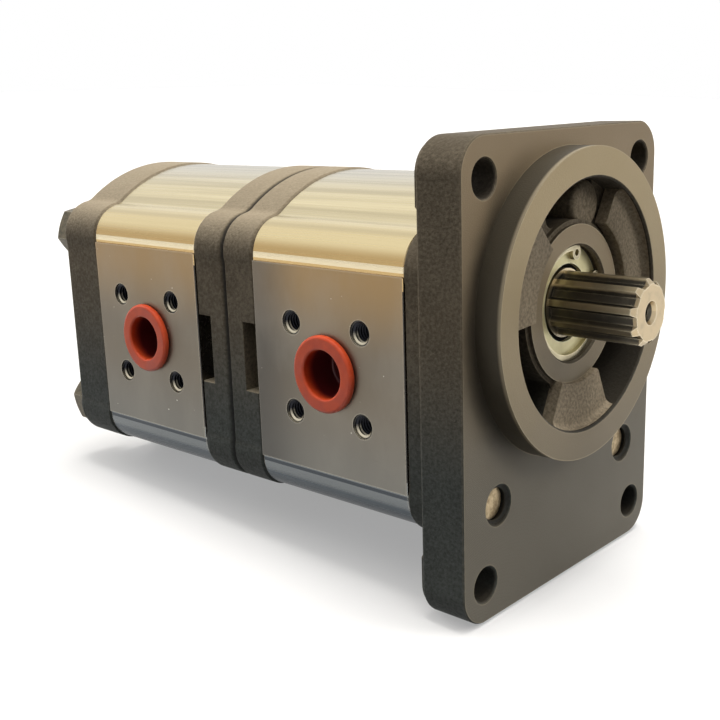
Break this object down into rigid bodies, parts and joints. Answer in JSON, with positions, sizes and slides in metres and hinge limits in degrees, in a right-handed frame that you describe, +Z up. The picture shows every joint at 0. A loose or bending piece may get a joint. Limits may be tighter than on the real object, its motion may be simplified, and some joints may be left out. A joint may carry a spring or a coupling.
{
  "type": "tandem hydraulic gear pump",
  "caption": "Tandem external gear pump with a cast iron mounting flange, splined drive shaft, aluminium housings, iron middle plates and end cover, and plugged ports.",
  "frame": {"origin": "centre of the pilot at the flange's mounting face, on the drive shaft's axis", "axes": "+X along the drive shaft towards its splined end, +Z up, -Y the pressure side"},
  "size_m": [0.1966, 0.0943, 0.12],
  "materials": {
    "cast_iron": "rough as cast, machined mounting face",
    "aluminium": "satin extruded",
    "liner_bronze": "smooth",
    "seal_rubber": "matte",
    "phosphated_steel": "dark phosphate",
    "zinc_steel": "pale yellow plated",
    "red_plastic": "moulded",
    "steel": "ground"
  },
  "bodies": {
    "pump_body": {"body_bolts": "phosphated_steel", "dowel_pins": "steel", "front_cover": "cast_iron", "front_housing": "aluminium", "front_stage_front_balance_seal": "seal_rubber", "front_stage_front_bearing_block": "aluminium", "front_stage_front_face_seal": "seal_rubber", "front_stage_front_liners": "liner_bronze", "front_stage_plate": "cast_iron", "front_stage_rear_balance_seal": "seal_rubber", "front_stage_rear_bearing_block": "aluminium", "front_stage_rear_face_seal": "seal_rubber", "front_stage_rear_liners": "liner_bronze", "plate_seal": "seal_rubber", "pressure_plug_front": "red_plastic", "pressure_plug_rear": "red_plastic", "rear_cover": "cast_iron", "rear_housing": "aluminium", "rear_stage_front_balance_seal": "seal_rubber", "rear_stage_front_bearing_block": "aluminium", "rear_stage_front_face_seal": "seal_rubber", "rear_stage_front_liners": "liner_bronze", "rear_stage_plate": "cast_iron", "rear_stage_rear_balance_seal": "seal_rubber", "rear_stage_rear_bearing_block": "aluminium", "rear_stage_rear_face_seal": "seal_rubber", "rear_stage_rear_liners": "liner_bronze", "seal_circlip": "steel", "seal_washer": "zinc_steel", "shaft_seal_inner": "seal_rubber", "shaft_seal_outer": "seal_rubber", "suction_cap": "red_plastic"},
    "drive_line": {"drive_gear_shaft": "steel", "shaft_coupling": "steel", "rear_drive_gear": "steel"},
    "front_driven": {"front_driven_gear": "steel"},
    "rear_driven": {"rear_driven_gear": "steel"}
  },
  "joints": [
    {"name": "drive_spin", "type": "hinge", "parent": "pump_body", "child": "drive_line", "pos_m": [0, 0, 0], "axis": [1, 0, 0], "continuous": true},
    {"name": "front_driven_spin", "type": "hinge", "parent": "pump_body", "child": "front_driven", "pos_m": [0, 0, -0.0345], "axis": [1, 0, 0], "continuous": true},
    {"name": "rear_driven_spin", "type": "hinge", "parent": "pump_body", "child": "rear_driven", "pos_m": [0, 0, -0.0345], "axis": [1, 0, 0], "continuous": true}
  ],
  "couplings": [
    {"joint": "front_driven_spin", "follows": "drive_spin", "ratio": -1},
    {"joint": "rear_driven_spin", "follows": "drive_spin", "ratio": -1}
  ]
}
